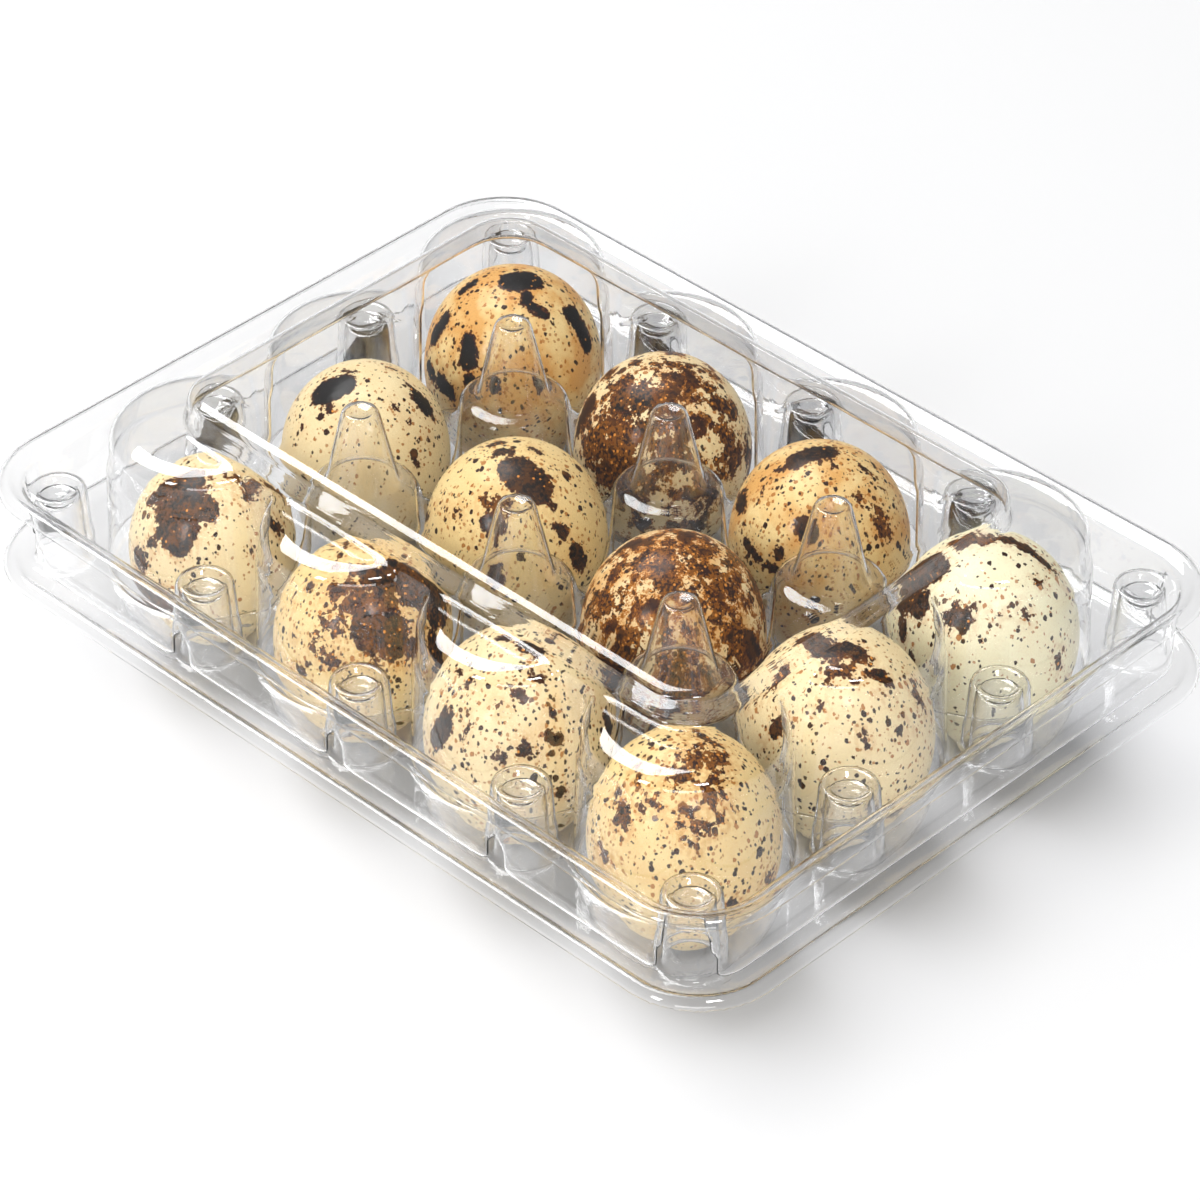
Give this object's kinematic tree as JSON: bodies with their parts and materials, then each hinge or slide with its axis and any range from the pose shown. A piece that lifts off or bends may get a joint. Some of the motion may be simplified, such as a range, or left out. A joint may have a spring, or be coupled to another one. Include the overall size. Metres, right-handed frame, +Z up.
{
  "type": "egg carton with quail eggs",
  "caption": "Shut clear plastic pack: a tray of cups with hollow cones between them and a snap-down domed lid, holding speckled quail eggs upright.",
  "frame": {"origin": "middle of the pack, on the surface that its cups stand on", "axes": "+X along the long side, +Y along the short side, +Z up through the lid"},
  "size_m": [0.15, 0.112, 0.045],
  "materials": {
    "tray_plastic": "clear pressed sheet, glossy, grey where it is seen edge on",
    "lid_plastic": "clear pressed sheet, glossy, grey where it is seen edge on",
    "eggshell_cream": "cream eggshell with dark brown blotches and fine specks, satin to glossy",
    "eggshell_tan": "tan eggshell with near-black blotches and fine brown specks, satin to glossy",
    "eggshell_brown": "cream eggshell densely mottled in chestnut and golden brown, satin to glossy"
  },
  "bodies": {
    "root": {"tray": "tray_plastic", "lid": "lid_plastic", "egg_1_1": "eggshell_cream", "egg_2_1": "eggshell_cream", "egg_3_1": "eggshell_cream", "egg_4_1": "eggshell_cream", "egg_1_2": "eggshell_cream", "egg_2_2": "eggshell_cream", "egg_3_2": "eggshell_brown", "egg_4_2": "eggshell_cream", "egg_1_3": "eggshell_tan", "egg_2_3": "eggshell_brown", "egg_3_3": "eggshell_tan", "egg_4_3": "eggshell_cream"}
  },
  "joints": []
}
